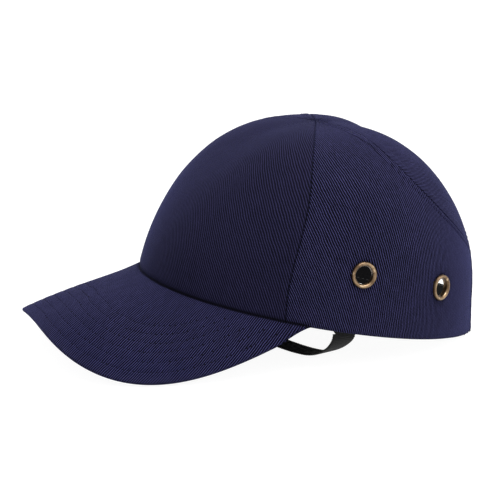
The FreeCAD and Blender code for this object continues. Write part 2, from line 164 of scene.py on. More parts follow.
def arc(share, power):
    """Height of a superellipse's quarter arc at a share of its width."""
    return (1.0 - share ** power) ** (1.0 / power)


def superellipse(turn, length, width, power):
    """Reach of a superellipse from its middle."""
    return (np.abs(np.cos(turn) / length) ** power + np.abs(np.sin(turn) / width) ** power) ** (-1 / power)


def settled(value, better, share=0.5):
    """The value that stays the same when it is worked out again from itself."""
    for _ in range(60):
        value = (1.0 - share) * value + share * better(value)
    return value


def surface_normal(point, first, second):
    """Unit normals of a surface that is a function of two values."""
    along = point(first + fine_step, second) - point(first - fine_step, second)
    across = point(first, second + fine_step) - point(first, second - fine_step)
    return unit(np.cross(across, along))


def shape_power(psi):
    c = np.cos(psi)
    s = np.sin(psi)
    end_power = np.where(c > 0, front_power, rear_power)
    return end_power * c * c + side_power * s * s


def crown_point(psi, lift, depth=0.0):
    """Points of the crown, depth under its outer face. lift is the angle from the top."""
    psi, lift, depth = np.broadcast_arrays(psi, lift, depth)
    power = shape_power(psi)
    up = np.minimum(lift, pi / 2)
    sine = np.clip(np.sin(up), 1e-9, 1)
    cosine = np.clip(np.cos(up), 1e-9, 1)
    reach = (sine ** power + cosine ** power) ** (-1.0 / power)
    rho = reach * sine
    rise = reach * cosine
    wall = np.maximum(lift - pi / 2, 0.0)
    x = (crown_half_length - depth) * np.cos(psi) * rho + crown_lean * rise
    y = (crown_half_width - depth) * np.sin(psi) * rho
    z = crown_base + (crown_rise - depth) * rise - wall * crown_rise
    return np.stack([x + crown_x, y, z], -1)


def crown_normal(psi, lift):
    return surface_normal(crown_point, psi, np.maximum(lift, 2 * fine_step))


def lift_at_height(psi, z, depth=0.0):
    psi, z, depth = np.broadcast_arrays(psi, z, depth)
    rise = np.clip((z - crown_base) / (crown_rise - depth), 0.0, 1.0)
    on_crown = np.arctan2(arc(rise, shape_power(psi)), rise)
    return np.where(z <= crown_base, pi / 2 + (crown_base - z) / crown_rise, on_crown)


def lift_at_radius(psi, radius):
    rho = radius * np.hypot(np.cos(psi) / crown_half_length, np.sin(psi) / crown_half_width)
    return np.arctan2(rho, arc(rho, shape_power(psi)))


def hem_plane(psi):
    return hem_side_height + hem_slope * crown_half_length * np.cos(psi)


def hem_height(psi):
    """The hem lies in a plane, but runs lower behind the brim, and level at the back, by the table."""
    turn = np.where(psi < pi, np.abs(psi), 2 * pi - psi)
    behind_brim = smooth((brim_end - turn) / front_hem_span)
    return np.maximum(hem_plane(psi) - front_hem_drop * behind_brim, hem_clearance)


def front_seam(z):
    start, run = front_seam_bend
    return front_seam_hem + (front_seam_top - front_seam_hem) * smooth((z - start) / run)


def rear_seam(z):
    top = crown_base + crown_rise
    share = np.minimum((z - rear_seam_foot) / (top - rear_seam_foot), 1.0)
    return rear_seam_top + (rear_seam_arch - rear_seam_top) * (1.0 - share) ** rear_seam_power


def middle_back(z):
    return np.full_like(z, pi)


def crown_rho(psi, z):
    """Share of the crown's full plan that it has at a height."""
    return arc(np.clip((z - crown_base) / crown_rise, 0.0, 1.0), shape_power(psi))


def rear_azimuth(y, z):
    """Azimuth of the point of the crown's rear at a sideways place and a height."""
    def better(psi):
        return pi - np.arcsin(np.clip(y / (crown_half_width * crown_rho(psi, z)), -1.0, 1.0))
    return settled(pi - y / crown_half_width, better)


def arch_azimuth(z):
    """Azimuth of the rear opening's side at a height."""
    share = np.clip((z - arch_spring) / arch_rise, 0.0, 1.0)
    return rear_azimuth(arch_half_width * arc(share, arch_power), z)


def arch_top(psi, grow=0.0):
    """Height of the opening's edge at an azimuth, or of a line grown outside it."""
    width = arch_half_width + grow
    rise = arch_rise + grow

    def better(z):
        y = np.clip(crown_half_width * np.abs(np.sin(psi)) * crown_rho(psi, z), 0, width)
        return arch_spring + rise * arc(y / width, arch_power)
    return settled(np.full_like(psi, arch_spring + rise), better)


def side_rear_edge(z):
    """Rear edge of a side panel: the arch's side, then the rear seam."""
    return np.minimum(arch_azimuth(z), rear_seam(z))


# ---------------------------------------------------------------- mesh helpers
def make_object(name, points, faces, uv=None, shade=None):
    """A smooth, closed mesh object from points in millimetres. uv is one pair for each point,
    and shade is how far painted shade darkens the cloth there. Points left without a face are dropped."""
    mesh = bpy.data.meshes.new(name)
    mesh.from_pydata([tuple(p) for p in np.asarray(points) * MM], [], faces)
    if uv is not None:
        corner = np.zeros(len(mesh.loops), np.int32)
        mesh.loops.foreach_get("vertex_index", corner)
        layer = mesh.uv_layers.new(name="weave")
        layer.data.foreach_set("uv", np.asarray(uv, np.float32)[corner].ravel())
    if shade is not None:
        crease_shade = mesh.attributes.new("crease_shade", "FLOAT", "POINT")
        crease_shade.data.foreach_set("value", np.asarray(shade, np.float32))
    skin = bmesh.new()
    skin.from_mesh(mesh)
    loose = [v for v in skin.verts if not v.link_faces]
    bmesh.ops.delete(skin, geom=loose, context="VERTS")
    bmesh.ops.recalc_face_normals(skin, faces=skin.faces)
    skin.to_mesh(mesh)
    skin.free()
    mesh.polygons.foreach_set("use_smooth", [True] * len(mesh.polygons))
    mesh.update()
    obj = bpy.data.objects.new(name, mesh)
    bpy.context.scene.collection.objects.link(obj)
    return obj


def grid_faces(rows, columns, start=0, around=False, ring=False):
    """Quads of a grid of points held row by row. around joins the last column to the first,
    and ring joins the last row to the first."""
    faces = []
    for i in range(rows if ring else rows - 1):
        for j in range(columns if around else columns - 1):
            here = start + i * columns
            above = start + (i + 1) % rows * columns
            k = (j + 1) % columns
            faces.append((here + j, here + k, above + k, above + j))
    return faces


def closed_slab(name, outer, inner, uv, cut=None, shade=None):
    """Closed skin between two grids of points that run side by side (rows, columns, 3). cut
    marks the points round which both skins are left open, with a wall between them."""
    rows, columns = outer.shape[:2]
    count = rows * columns
    kept = np.ones((rows - 1, columns - 1), bool)
    if cut is not None:
        kept = ~(cut[:-1, :-1] | cut[1:, :-1] | cut[:-1, 1:] | cut[1:, 1:])
    framed = np.pad(kept, 1)
    faces = []
    for i, j in zip(*np.nonzero(kept)):
        here = i * columns + j
        corners = (here, here + 1, here + columns + 1, here + columns)
        faces.append(corners)
        faces.append(tuple(c + count for c in corners))
        beside_cell = (framed[i, j + 1], framed[i + 1, j + 2], framed[i + 2, j + 1], framed[i + 1, j])
        for joined_on, start, end in zip(beside_cell, corners, corners[1:] + corners[:1]):
            if not joined_on:
                faces.append((end, start, start + count, end + count))
    points = np.concatenate([outer.reshape(-1, 3), inner.reshape(-1, 3)])
    dark = None if shade is None else np.concatenate([shade.ravel()] * 2)
    return make_object(name, points, faces, np.concatenate([uv.reshape(-1, 2)] * 2), dark)


def loft(name, sections, uv, ring=False):
    """Closed skin over a row of closed sections (rows, around, 3). ring joins its ends."""
    rows, around = sections.shape[:2]
    faces = grid_faces(rows, around, around=True, ring=ring)
    if not ring:
        faces.append(tuple(range(around)))
        faces.append(tuple((rows - 1) * around + j for j in range(around)))
    return make_object(name, sections.reshape(-1, 3), faces, uv.reshape(-1, 2))


def lathe(name, profile, centre, axis, segments=72, flat=False):
    """Turned piece: profile holds pairs of radius and place along the axis, as a closed loop.
    Its weave coordinates are those pairs, or lie flat across the axis."""
    axis = unit(axis)
    side = unit(np.cross(axis, (0.0, 0.0, 1.0)))
    other = np.cross(axis, side)
    turn = np.linspace(0.0, 2 * pi, segments, endpoint=False)[:, None, None]
    radius, place = np.array(profile).T[:, None, :, None]
    points = centre + radius * (np.cos(turn) * side + np.sin(turn) * other) + place * axis
    across = radius * np.cos(turn) if flat else radius
    along = radius * np.sin(turn) if flat else place
    uv = np.concatenate(np.broadcast_arrays(across, along, turn)[:2], -1)
    return loft(name, points, uv, ring=True)


def rounded(points, corner=0.35, count=4):
    """A closed outline with its corners cut round, for lathe profiles and bands."""
    points = np.asarray(points, float)
    out = []
    for before, here, after in zip(np.roll(points, 1, 0), points, np.roll(points, -1, 0)):
        back = before - here
        ahead = after - here
        reach = min(corner, np.linalg.norm(back) / 2, np.linalg.norm(ahead) / 2)
        start = here + unit(back) * reach
        end = here + unit(ahead) * reach
        for t in np.linspace(0.0, 1.0, count):
            point = (1 - t) ** 2 * start + 2 * t * (1 - t) * here + t * t * end
            if not out or np.linalg.norm(point - out[-1]) > 1e-5:
                out.append(point)
    if np.linalg.norm(out[0] - out[-1]) < 1e-5:
        out.pop()
    return out


def edged(count, length, radius, fine=6):
    """Shares from 0 to 1, with close steps over the rounded edges of a piece of that length."""
    edge = radius * (1.0 - np.cos(np.linspace(0.0, pi / 2, fine))) / length
    middle = np.linspace(edge[-1], 1.0 - edge[-1], count)[1:-1]
    return np.concatenate([edge, middle, 1.0 - edge[::-1]])


def rounding(gap, radius):
    """Share of the full thickness, falling in a quarter circle to the edge."""
    short = np.clip(1.0 - gap / radius, 0.0, 1.0)
    return 0.03 + 0.97 * np.sqrt(1.0 - short * short)


def lengths(points, axis):
    """Distance run along one axis of a grid of points."""
    run = np.cumsum(np.linalg.norm(np.diff(points, axis=axis), axis=-1), axis=axis)
    return np.insert(run, 0, 0.0, axis=axis)


def clustered(count, hold=0.85):
    """Shares from 0 to 1, set closer at both ends."""
    t = np.linspace(0.0, 1.0, count)
    return t - hold * np.sin(2 * pi * t) / (2 * pi)


def noise_at(points, scale, seed):
    """Smooth noise, about -1 to 1, for an array of points."""
    flat = points.reshape(-1, 3) / scale + seed * 17.3
    return np.array([noise.noise(p) for p in flat]).reshape(points.shape[:-1])


def swells(points, seed, *waves):
    """Slow swells of slack cloth. Each wave is a height and a breadth."""
    return sum(height * noise_at(points, breadth, seed + k) for k, (height, breadth) in enumerate(waves))


sides = ((1, "left"), (-1, "right"))


def mirrored(points, side):
    """Points on the wearer's left, or turned over to the right when side is -1."""
    return points * np.array([1.0, side, 1.0])


# ---------------------------------------------------------------- camera
camera_place = (388.5, 919.6, 297.9)     # from the table under the middle of the crown
camera_aim = (35.5, 0.0, 52.35)
camera_lens = 121.9


def aimed(name, data, place, aim):
    """A camera or a lamp in the scene, turned towards a point."""
    obj = bpy.data.objects.new(name, data)
    bpy.context.scene.collection.objects.link(obj)
    obj.location = place
    obj.rotation_euler = (Vector(aim) - Vector(place)).to_track_quat("-Z", "Y").to_euler()
    return obj


def from_crown(place):
    x, y, z = place
    return Vector((crown_x + x, y, z)) * MM


camera_data = bpy.data.cameras.new("camera")
camera_data.sensor_width = 36.0
camera_data.lens = camera_lens
camera_data.clip_start = 0.05
camera_data.clip_end = 60.0
bpy.context.scene.camera = aimed("camera", camera_data, from_crown(camera_place), from_crown(camera_aim))


# ---------------------------------------------------------------- materials
class Value:
    """A value in a material, so that a weave can be written as a formula."""

    def __init__(self, look, socket):
        self.look = look
        self.socket = socket

    def __add__(self, other):
        return self.look.math("ADD", self, other)

    def __sub__(self, other):
        return self.look.math("SUBTRACT", self, other)

    def __mul__(self, other):
        return self.look.math("MULTIPLY", self, other)

    def __truediv__(self, other):
        return self.look.math("DIVIDE", self, other)

    def __pow__(self, other):
        return self.look.math("POWER", self, other)


class Look:
    """One material, with short calls for its nodes."""

    def __init__(self, name):
        self.material = bpy.data.materials.new(name)
        self.material.use_nodes = True
        self.tree = self.material.node_tree

    def put(self, socket, value):
        if isinstance(value, Value):
            self.tree.links.new(value.socket, socket)
        else:
            socket.default_value = (*value, 1.0) if isinstance(value, tuple) else value

    def add(self, kind, inputs=(), **settings):
        node = self.tree.nodes.new(kind)
        for key, value in settings.items():
            setattr(node, key, value)
        for key, value in dict(inputs).items():
            self.put(node.inputs[key], value)
        return node

    def out(self, output, kind, inputs=(), **settings):
        return Value(self, self.add(kind, inputs, **settings).outputs[output])

    def math(self, operation, *values):
        return self.out(0, "ShaderNodeMath", enumerate(values), operation=operation)

    def wave(self, turns):
        return self.math("SINE", turns) * 0.5 + 0.5

    def noise(self, vector, scale, detail=2.0, rough=0.5):
        inputs = {"Vector": vector, "Scale": scale, "Detail": detail, "Roughness": rough}
        return self.out("Fac", "ShaderNodeTexNoise", inputs)

    def cells(self, vector, scale):
        return self.out("Distance", "ShaderNodeTexVoronoi", {"Vector": vector, "Scale": scale})

    def ramp(self, value, *stops):
        node = self.add("ShaderNodeValToRGB", {"Fac": value})
        elements = node.color_ramp.elements
        while len(elements) < len(stops):
            elements.new(0.5)
        for element, (place, color) in zip(elements, stops):
            element.position = place
            element.color = (*color, 1.0)
        return Value(self, node.outputs["Color"])

    def mix(self, share, low, high, blend="MIX"):
        node = self.add("ShaderNodeMix", data_type="RGBA", blend_type=blend)
        for name, value in (("Factor", share), ("A", low), ("B", high)):
            self.put(node.inputs[name], value)
        return Value(self, node.outputs["Result"])

    def bump(self, height, relief, strength=1.0):
        inputs = {"Distance": relief * MM, "Strength": strength, "Height": height}
        return self.out("Normal", "ShaderNodeBump", inputs)

    def vector(self, x, y):
        return self.out(0, "ShaderNodeCombineXYZ", {0: x, 1: y})

    def place(self):
        return self.out("Object", "ShaderNodeTexCoord")

    def uv(self):
        """The piece's own two coordinates, in millimetres."""
        place = self.out("UV", "ShaderNodeUVMap", uv_map="weave")
        split = self.add("ShaderNodeSeparateXYZ", {0: place})
        return Value(self, split.outputs[0]), Value(self, split.outputs[1])

    def finish(self, **values):
        """Sets the shader's sockets, named with _ for a space."""
        for key, value in values.items():
            self.put(self.tree.nodes["Principled BSDF"].inputs[key.replace("_", " ")], value)
        return self.material


def twill_material(name, groove, ground, crest, pitch=1.1, sharp=1.0, relief=0.14):
    """Cotton twill. Its weave coordinates run across and along the ridges. Painted shade
    darkens it where the mesh says that it goes down into a seam."""
    n = Look(name)
    across, along = n.uv()
    waver = (n.noise(n.vector(across, along), 0.10, 3.0) - 0.5) * 1.1
    fine = n.noise(n.vector(across, along * 0.35), 0.8, 3.0, 0.6)
    shaken = across + waver + fine * 0.30
    ridge = n.wave(shaken * (2 * pi / pitch)) ** sharp
    row = n.math("FLOOR", shaken / pitch)
    yarn = n.wave(along * (2 * pi / yarn_pitch) + row * yarn_shift)
    thread = ridge * (yarn * 0.45 + 0.55)
    fibre = n.noise(n.vector(across * 1.2, along * 3.0), 2.2, 2.0, 0.7)
    slub = n.noise(n.vector(across * 0.9, along * 0.12), 1.1, 2.0, 0.6)
    tone = thread + (fibre - 0.5) * 0.5 + (slub - 0.5) * 0.35
    color = n.ramp(tone, (0.0, groove), (0.40, ground), (1.0, crest))
    patch = n.ramp(n.noise(n.place(), 22.0, 3.0), (0.35, (0.84, 0.84, 0.87)), (0.65, (1.0, 1.0, 1.0)))
    # Painted shade: the mesh's value per point darkens the weave towards near black in the seams' grooves.
    crease_shade = n.out("Fac", "ShaderNodeAttribute", attribute_name="crease_shade")
    return n.finish(
        Base_Color=n.mix(crease_shade, n.mix(1.0, color, patch, "MULTIPLY"), painted_seam_shade),
        Roughness=thread * -0.12 + 0.95, Normal=n.bump(thread + fibre * 0.3, relief), Specular_IOR_Level=0.06,
        Sheen_Weight=0.10, Sheen_Roughness=0.35, Sheen_Tint=(0.25, 0.28, 0.95))


def webbing_material(name, dark, light, sheen=0.2):
    """Woven tape: fine ribs across and yarns along."""
    n = Look(name)
    across, along = n.uv()
    weave = n.wave(along * (2 * pi / rib_pitch)) * n.wave(across * (2 * pi / warp_pitch))
    fibre = n.noise(n.vector(across * 2.0, along), 2.6, 3.0, 0.7)
    tone = weave * 0.8 + fibre * 0.3
    return n.finish(
        Base_Color=n.ramp(tone, (0.05, dark), (0.9, light)), Roughness=fibre * 0.25 + 0.6,
        Normal=n.bump(tone, 0.14), Specular_IOR_Level=0.12, Sheen_Weight=sheen, Sheen_Roughness=0.4)


def grain_material(name, dark, light, scale, relief, rough, specular=0.4, sheen=0.0, cells=False):
    """Foam, brushed cloth, thread or moulded plastic: a fine grain at a given scale."""
    n = Look(name)
    place = n.place()
    grain = n.cells(place, scale) if cells else n.noise(place, scale, 4.0, 0.65)
    cloud = n.noise(place, scale * 0.04, 3.0)
    return n.finish(
        Base_Color=n.ramp(grain * 0.6 + cloud * 0.4, (0.25, dark), (0.75, light)),
        Roughness=cloud * 0.2 + (rough - 0.1), Normal=n.bump(grain, relief),
        Specular_IOR_Level=specular, Sheen_Weight=sheen)


def brass_material():
    """Antique brass: bright where it is rubbed and brown in the hollows, with painted shade round the
    rim and in the barrel. Its weave coordinates are the radius and the height over the cloth."""
    n = Look("antique_brass")
    place = n.place()
    speck = n.noise(place, 1500.0, 3.0, 0.7)
    edge = n.out("Pointiness", "ShaderNodeNewGeometry")
    tone = n.noise(place, 260.0, 4.0, 0.6) * 0.75 + (edge - 0.47) * 9.0 * 0.35
    radius, height = n.uv()
    # Painted shade: dark brown over the flange's outer edge and inside the barrel.
    outside = (radius - (eyelet_radius - 0.75)) / 0.6
    barrel = n.math("SUBTRACT", 1.0, n.math("ABSOLUTE", height + 0.4))
    in_barrel = barrel * n.math("LESS_THAN", radius, eyelet_hole + 0.4)
    shade = n.math("MINIMUM", n.math("MAXIMUM", n.math("MAXIMUM", outside, in_barrel), 0.0), 1.0)
    worn = n.ramp(
        tone, (0.25, (0.034, 0.020, 0.011)), (0.5, (0.175, 0.112, 0.062)), (0.8, (0.46, 0.34, 0.215)))
    return n.finish(
        Base_Color=n.mix(shade * 0.85, worn, (0.020, 0.009, 0.005)), Roughness=speck * 0.25 + 0.28,
        Normal=n.bump(speck, 0.03, 0.6), Metallic=0.9)


yarn_pitch = 0.85     # along a ridge
yarn_shift = 2.1      # from one ridge to the next, in radians
rib_pitch = 1.1
warp_pitch = 0.8
# Painted shade: the colour that the twill turns to in the creases of its seams.
painted_seam_shade = (0.0003, 0.0003, 0.0008)
navy_groove = (0.0005, 0.0004, 0.0018)

navy = twill_material("navy_twill", navy_groove, (0.0062, 0.0058, 0.0190), (0.058, 0.056, 0.158), sharp=2.2)
navy_brim = twill_material(
    "navy_twill_brim", navy_groove, (0.0062, 0.0059, 0.0205), (0.058, 0.057, 0.172), 1.36, 2.6)
navy_front = twill_material(
    "navy_twill_front", (0.0016, 0.0014, 0.0048), (0.0064, 0.0058, 0.0185), (0.0235, 0.0221, 0.0640),
    1.27, 1.4, 0.10)
tape_cloth = webbing_material("tape_cloth", (0.003, 0.003, 0.008), (0.014, 0.014, 0.034))
strap_cloth = webbing_material("strap_cloth", (0.0015, 0.0015, 0.0016), (0.014, 0.014, 0.0145), 0.03)
# Dark and light colour, grain scale, relief, roughness, specular, sheen, cells.
grains = {
    "navy_thread": ((0.0012, 0.0011, 0.0035), (0.0035, 0.0033, 0.010), 2500.0, 0.02, 0.85, 0.05),
    "black_thread": ((0.006, 0.006, 0.007), (0.020, 0.020, 0.022), 2500.0, 0.02, 0.6, 0.3, 0.3),
    "band_cloth": ((0.0025, 0.0025, 0.003), (0.009, 0.009, 0.010), 1400.0, 0.10, 0.9, 0.1, 0.08),
    "eva_foam": ((0.010, 0.010, 0.011), (0.030, 0.030, 0.032), 900.0, 0.08, 0.85, 0.25, 0.1, True),
    "shell_plastic": ((0.0045, 0.0043, 0.0048), (0.009, 0.0087, 0.0095), 1800.0, 0.03, 0.5, 0.25),
    "board_plastic": ((0.62, 0.62, 0.58), (0.78, 0.78, 0.74), 500.0, 0.02, 0.5),
    "slider_plastic": ((0.010, 0.010, 0.011), (0.018, 0.018, 0.019), 1200.0, 0.02, 0.32, 0.5),
    "hook_cloth": ((0.003, 0.003, 0.004), (0.022, 0.022, 0.024), 700.0, 0.25, 0.75, 0.3, 0.2, True),
}
grained = {name: grain_material(name, *settings) for name, settings in grains.items()}
brass = brass_material()
look_of = {
    "twill": navy, "binding_tape": tape_cloth, "webbing": strap_cloth, "brass": brass,
    "sweatband": grained["band_cloth"], "foam": grained["eva_foam"], "brim_board": grained["board_plastic"],
    "slider_plastic": grained["slider_plastic"], "hook_and_loop": grained["hook_cloth"],
}


def finish_piece(obj, slot, *replaced, body="cap", look=None):
    """Gives a piece its slot's material or its own, its body, and the CAD nodes that it stands for."""
    obj.data.materials.append(look or look_of[slot])
    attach(obj, body)
    if replaced:
        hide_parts(*replaced)
    return obj


# ---------------------------------------------------------------- crown panels
mouth_radius = 0.25          # of the point where the five panels meet
seam_groove = 0.55
groove_width = 0.45
# How far painted shade darkens the twill along each seam's groove.
seam_shade = 0.6
allowance_width = 4.6
topstitch_place = 4.1
topstitch_dent = 0.22
pucker = (0.07, 7.0, 6.0)    # height, pitch along the seam, and fall beside it
cloth_swells = ((0.50, 46.0), (0.14, 14.0))
brim_dent = 0.95             # at the seam that holds the brim
eyelet_dent = 0.45
flattening = 0.40            # how much a panel's azimuths close up when it is laid flat
cone_reach = 87.0            # from the top of that flat panel to the point that its threads turn about
least_cloth = 0.35           # thickness where the cloth is pressed in
tape_clearance = 0.05
eyelet_bed = 4.0             # how far round an eyelet the cloth is drawn in
eyelet_cut = 1.6             # from the flange's edge in to the cut
allowance_lift = {"front": (0.2, 0.2), "side": (0.15, 0.35), "rear": (0.15, 0.25)}
# Each panel's grain: the azimuth where its thread hangs straight, and the ridges' lean from it.
front_grain = (0.0, np.radians(44))
side_grain = (np.radians(63), np.radians(26))
rear_grain = (pi, np.radians(50))


def seam_profile(distance, rise, stitched):
    """Height of the cloth beside a sewn seam: the groove, and the raised allowance with its stitch line."""
    raised = rise * (1.0 - smooth((distance - allowance_width) / 1.3)) * smooth(distance / 1.2)
    stitch = topstitch_dent * stitched * bell(distance - topstitch_place, 0.4)
    return raised - seam_groove * bell(distance, groove_width) - stitch


def edge_course(seam, share, low, high):
    """Azimuth of a panel's side for each share of the way up from its low lift to its high one."""
    def better(psi):
        bottom = low(psi)
        return seam(crown_point(psi, bottom + (high(psi) - bottom) * share)[:, 2])
    return settled(np.full(len(share), seam(np.array([rear_seam_foot]))[0]), better, 0.4)


def hem_lift(psi):
    return lift_at_height(psi, hem_height(psi))


def mouth_lift(psi):
    return lift_at_radius(psi, mouth_radius)


def plan_radius(points):
    return np.hypot(points[..., 0] - crown_x, points[..., 1])


def flat_cloth(psi, climb, grain, lean, side):
    """Weave coordinates: across and along the twill's ridges, on the panel laid flat. Every
    panel is cut the same side out, so the ridges lean the same way on both sides."""
    reach = climb[-1:] - climb + cone_reach
    turn = side * flattening * (psi - grain)
    sideways = reach * np.sin(turn)
    upward = -reach * np.cos(turn)
    across = sideways * np.cos(lean) + upward * np.sin(lean)
    along = upward * np.cos(lean) - sideways * np.sin(lean)
    return np.stack([across, along], -1)


def filled(bottom, top, left, right, up, over):
    """Values on a grid between its four sides."""
    between_sides = left[:, None] * (1.0 - over) + right[:, None] * over
    between_ends = bottom * (1.0 - up) + top * up
    corners = (1.0 - up) * (bottom[0] * (1.0 - over) + bottom[-1] * over)
    corners = corners + up * (top[0] * (1.0 - over) + top[-1] * over)
    return between_sides + between_ends - corners


def hemmed_grid(left, right, columns, rows):
    """Azimuths and lifts of a panel that ends at the hem, rows from the bottom up."""
    up = clustered(rows, 0.6)[:, None]
    over = clustered(columns, 0.9)[None, :]
    start = edge_course(left, up[:, 0], hem_lift, mouth_lift)[:, None]
    end = edge_course(right, up[:, 0], hem_lift, mouth_lift)[:, None]
    psi = start + (end - start) * over
    bottom = hem_lift(psi)
    return psi, bottom + (mouth_lift(psi) - bottom) * up


def arch_curve(turn):
    """Sideways place and height of the rear opening's edge, from one side over to the other."""
    reach = superellipse(turn, arch_half_width, arch_rise, arch_power)
    return reach * np.cos(turn), arch_spring + reach * np.sin(turn)


def rear_grid(columns, rows):
    """Azimuths and lifts of a rear panel. Its lower side runs along the opening, from the foot
    of the rear seam to the middle of the back."""
    up = clustered(rows, 0.6)[:, None]
    over = clustered(columns, 0.9)[None, :]
    heights = np.linspace(arch_spring + 5.0, rear_seam_foot + 5.0, 400)
    foot = np.interp(0.0, arch_azimuth(heights) - rear_seam(heights), heights)
    y, z = arch_curve(np.linspace(0.0, pi / 2, 600))
    y, z = y[z >= foot], z[z >= foot]
    arch_psi = rear_azimuth(y, z)
    arch = lift_at_height(arch_psi, z)
    run = lengths(crown_point(arch_psi, arch), 0)
    low_psi = np.interp(over[0] * run[-1], run, arch_psi)
    low = np.interp(over[0] * run[-1], run, arch)
    side_psi = edge_course(rear_seam, up[:, 0], lambda psi: np.full_like(psi, low[0]), mouth_lift)
    side = low[0] + (mouth_lift(side_psi) - low[0]) * up[:, 0]
    back_psi = np.full(rows, low_psi[-1])
    back = low[-1] + (mouth_lift(back_psi) - low[-1]) * up[:, 0]
    top_psi = side_psi[-1] + (back_psi[-1] - side_psi[-1]) * over[0]
    psi = filled(low_psi, top_psi, side_psi, back_psi, up, over)
    return psi, filled(low, mouth_lift(top_psi), side, back, up, over)


def cloth_relief(base, climb, gaps, seed, rises, stitched):
    """How far the cloth stands out: seams, puckers beside them, and the slack of sewn cloth."""
    fade = smooth((plan_radius(base) - 2.0) / 12.0)
    height, pitch, fall = pucker
    wave = np.sin(climb * 2 * pi / pitch + 3.0 * noise_at(base, 20.0, seed + 3))
    relief = swells(base, seed, *cloth_swells)
    for gap, rise, sewn in zip(gaps, rises, stitched):
        relief += seam_profile(gap, rise * fade, sewn) + height * np.exp(-gap / fall) * wave * fade
    return relief


def hem_relief(climb):
    """The turned-up hem: rounded at its edge, with a faint line where the sweatband is sewn."""
    return -0.45 * bell(climb, 0.9) - 0.10 * bell(climb - 5.5, 0.6)


def at_brim_seam(psi, base, width):
    """How near the crown's points are to the seam that holds the brim, from 0 to 1."""
    height = base[..., 2] - hem_plane(psi) - brim_seam_height
    turn = np.abs(np.where(psi > pi, psi - 2 * pi, psi))
    return bell(height, width) * smooth((brim_end + 0.02 - turn) / 0.06)


def make_panel(node, grid, grain, side, seed, rises, stitched, look, holes=(), hemmed=True):
    """One sewn panel. rises and stitched say, for each side seam, how far its allowance lifts the
    cloth and whether it is topstitched."""
    psi, lift = grid
    base = crown_point(psi, lift)
    gaps = [np.linalg.norm(base - edge, axis=-1) for edge in (base[:, :1], base[:, -1:])]
    climb = lengths(base, 0)
    rise = cloth_relief(base, climb, gaps, seed, rises, stitched)
    # Painted shade along the seams' grooves and in the seam that holds the brim.
    shade = seam_shade * sum(bell(gap, groove_width) for gap in gaps)
    if hemmed:
        rise += hem_relief(climb) - brim_dent * at_brim_seam(psi, base, 1.3)
        shade += 0.9 * at_brim_seam(psi, base, 0.9)
    rise = np.maximum(rise, tape_clearance - tape_depths[0])
    cut = np.zeros(base.shape[:2], bool)
    for hole_psi, hole_z in holes:
        gap = np.linalg.norm(base - crown_point(hole_psi, lift_at_height(hole_psi, hole_z)), axis=-1)
        rise -= eyelet_dent * (1.0 - smooth((gap - eyelet_radius + 0.6) / eyelet_bed))
        cut |= gap < eyelet_radius - eyelet_cut
    outer = mirrored(base + crown_normal(psi, lift) * rise[..., None], side)
    inner = mirrored(crown_point(psi, lift, np.maximum(fabric, least_cloth - rise)), side)
    weave = flat_cloth(psi, climb, *grain, side)
    obj = closed_slab(node + "_twill", outer, inner, weave, cut, np.clip(shade, 0.0, 0.9))
    finish_piece(obj, "twill", node, look=look)


def make_panels():
    lift = allowance_lift
    front = hemmed_grid(lambda z: -front_seam(z), front_seam, 200, 110)
    make_panel("front_panel", front, front_grain, 1, 11, lift["front"], (0, 0), navy_front)
    flank = hemmed_grid(front_seam, side_rear_edge, 190, 120)
    back = rear_grid(110, 90)
    for side, word in sides:
        make_panel(word + "_side_panel", flank, side_grain, side, 21 + side, lift["side"], (0, 1), navy,
                   eyelets.values())
        make_panel(word + "_rear_panel", back, rear_grain, side, 31 + side, lift["rear"], (0, 0), navy,
                   hemmed=False)


make_panels()


# ---------------------------------------------------------------- brim
def brim_seam_point(psi, drop):
    z = hem_plane(psi) + brim_seam_height - drop
    return crown_point(psi, lift_at_height(psi, z), brim_tuck + 0.25 * drop)


def brim_edge_point(turn):
    """Outer edge of the brim: a superellipse in plan, arched down to both sides."""
    reach = superellipse(turn, crown_half_length + brim_reach - brim_root, brim_half_width, brim_power)
    x = brim_root + reach * np.cos(turn)
    y = reach * np.sin(turn)
    drop = brim_side_drop * (np.abs(y) / brim_half_width) ** brim_drop_power
    z = brim_front_height - brim_slope * (x - crown_half_length) - drop
    return np.stack([x + crown_x, y, z], -1)


def end_share(turn):
    """How full the brim is: it narrows into the hem at its two ends."""
    full = np.sin(np.clip((pi / 2 - np.abs(turn)) / brim_end_taper, 0.0, 1.0) * pi / 2)
    return brim_end_least + (1.0 - brim_end_least) * full


def brim_face_point(turn, share):
    turn, share = np.broadcast_arrays(turn, share)
    share = share * end_share(turn)
    inner = brim_seam_point(brim_end * turn / (pi / 2), 0.0)
    outer = brim_edge_point(turn)
    point = inner * (1.0 - share[..., None]) + outer * share[..., None]
    point[..., 2] += brim_bulge * np.cos(turn) * 4.0 * share * (1.0 - share)
    return point


def brim_normal(turn, share):
    """Normals of the brim's top face, taken a little inside its borders."""
    near = np.clip(turn, -pi / 2 + 0.06, pi / 2 - 0.06)
    return surface_normal(brim_face_point, near, np.clip(share, fine_step, 1.0 - fine_step))


def brim_width(turn):
    """The brim's width in the direction of its rows, and that direction."""
    across = brim_face_point(turn, np.ones_like(turn)) - brim_face_point(turn, np.zeros_like(turn))
    width = np.linalg.norm(across, axis=-1)
    return width, across / width[..., None]


def brim_point(turn, share, drop):
    """Points of the brim, drop under its top face. By the crown they go straight down."""
    turn, share, drop = np.broadcast_arrays(turn, share, drop)
    seam_azimuth = brim_end * turn / (pi / 2)
    by_crown = brim_seam_point(seam_azimuth, drop) - brim_seam_point(seam_azimuth, 0.0)
    blend = (smooth(share / 0.3) * smooth((pi / 2 - np.abs(turn)) / 0.25))[..., None]
    square = brim_normal(turn, share) * (drop[..., None] * blend)
    return brim_face_point(turn, share) + by_crown * (1.0 - blend) - square


